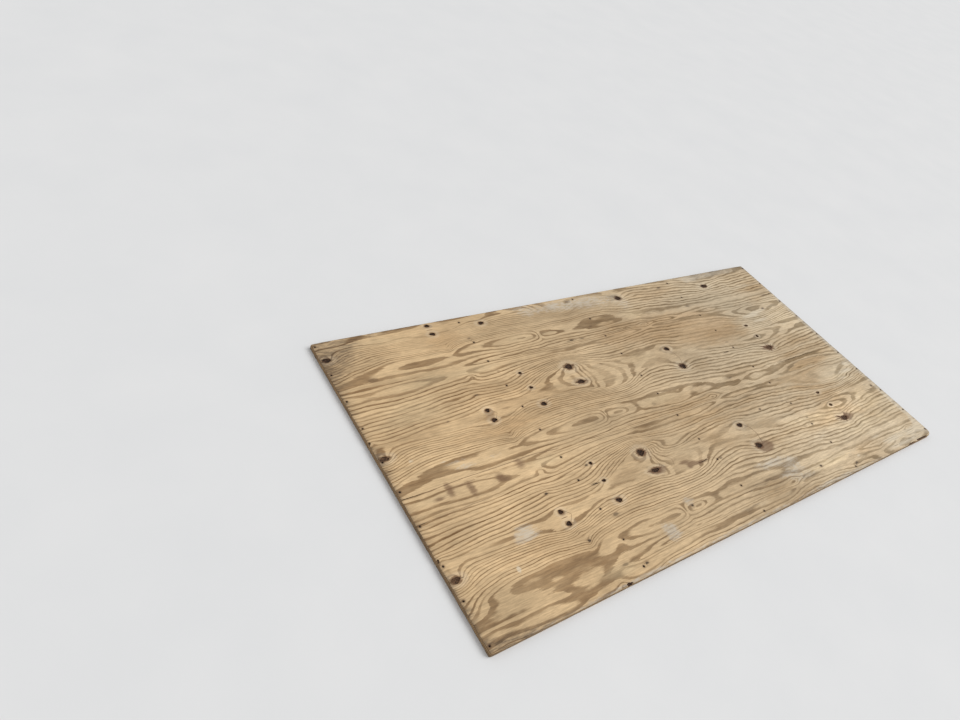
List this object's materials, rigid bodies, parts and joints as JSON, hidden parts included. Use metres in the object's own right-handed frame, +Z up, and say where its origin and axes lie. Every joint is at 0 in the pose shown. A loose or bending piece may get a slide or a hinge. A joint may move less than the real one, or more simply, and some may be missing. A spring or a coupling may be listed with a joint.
{
  "type": "plywood sheet",
  "caption": "Full-size used softwood plywood sheet with old nail holes over its joist lines, open knots, split ends and worn corners, for decking, sheathing or formwork.",
  "frame": {"origin": "middle of the sheet's underside", "axes": "+X along the 8 ft length, which is the grain of both faces, +Y across the 4 ft width, +Z up out of the better face"},
  "size_m": [2.4384, 1.2192, 0.0183],
  "materials": {
    "softwood_veneer": "bare, unsanded rotary-cut softwood veneer, slightly weathered"
  },
  "bodies": {
    "root": {"plywood_sheet": "softwood_veneer"}
  },
  "joints": []
}
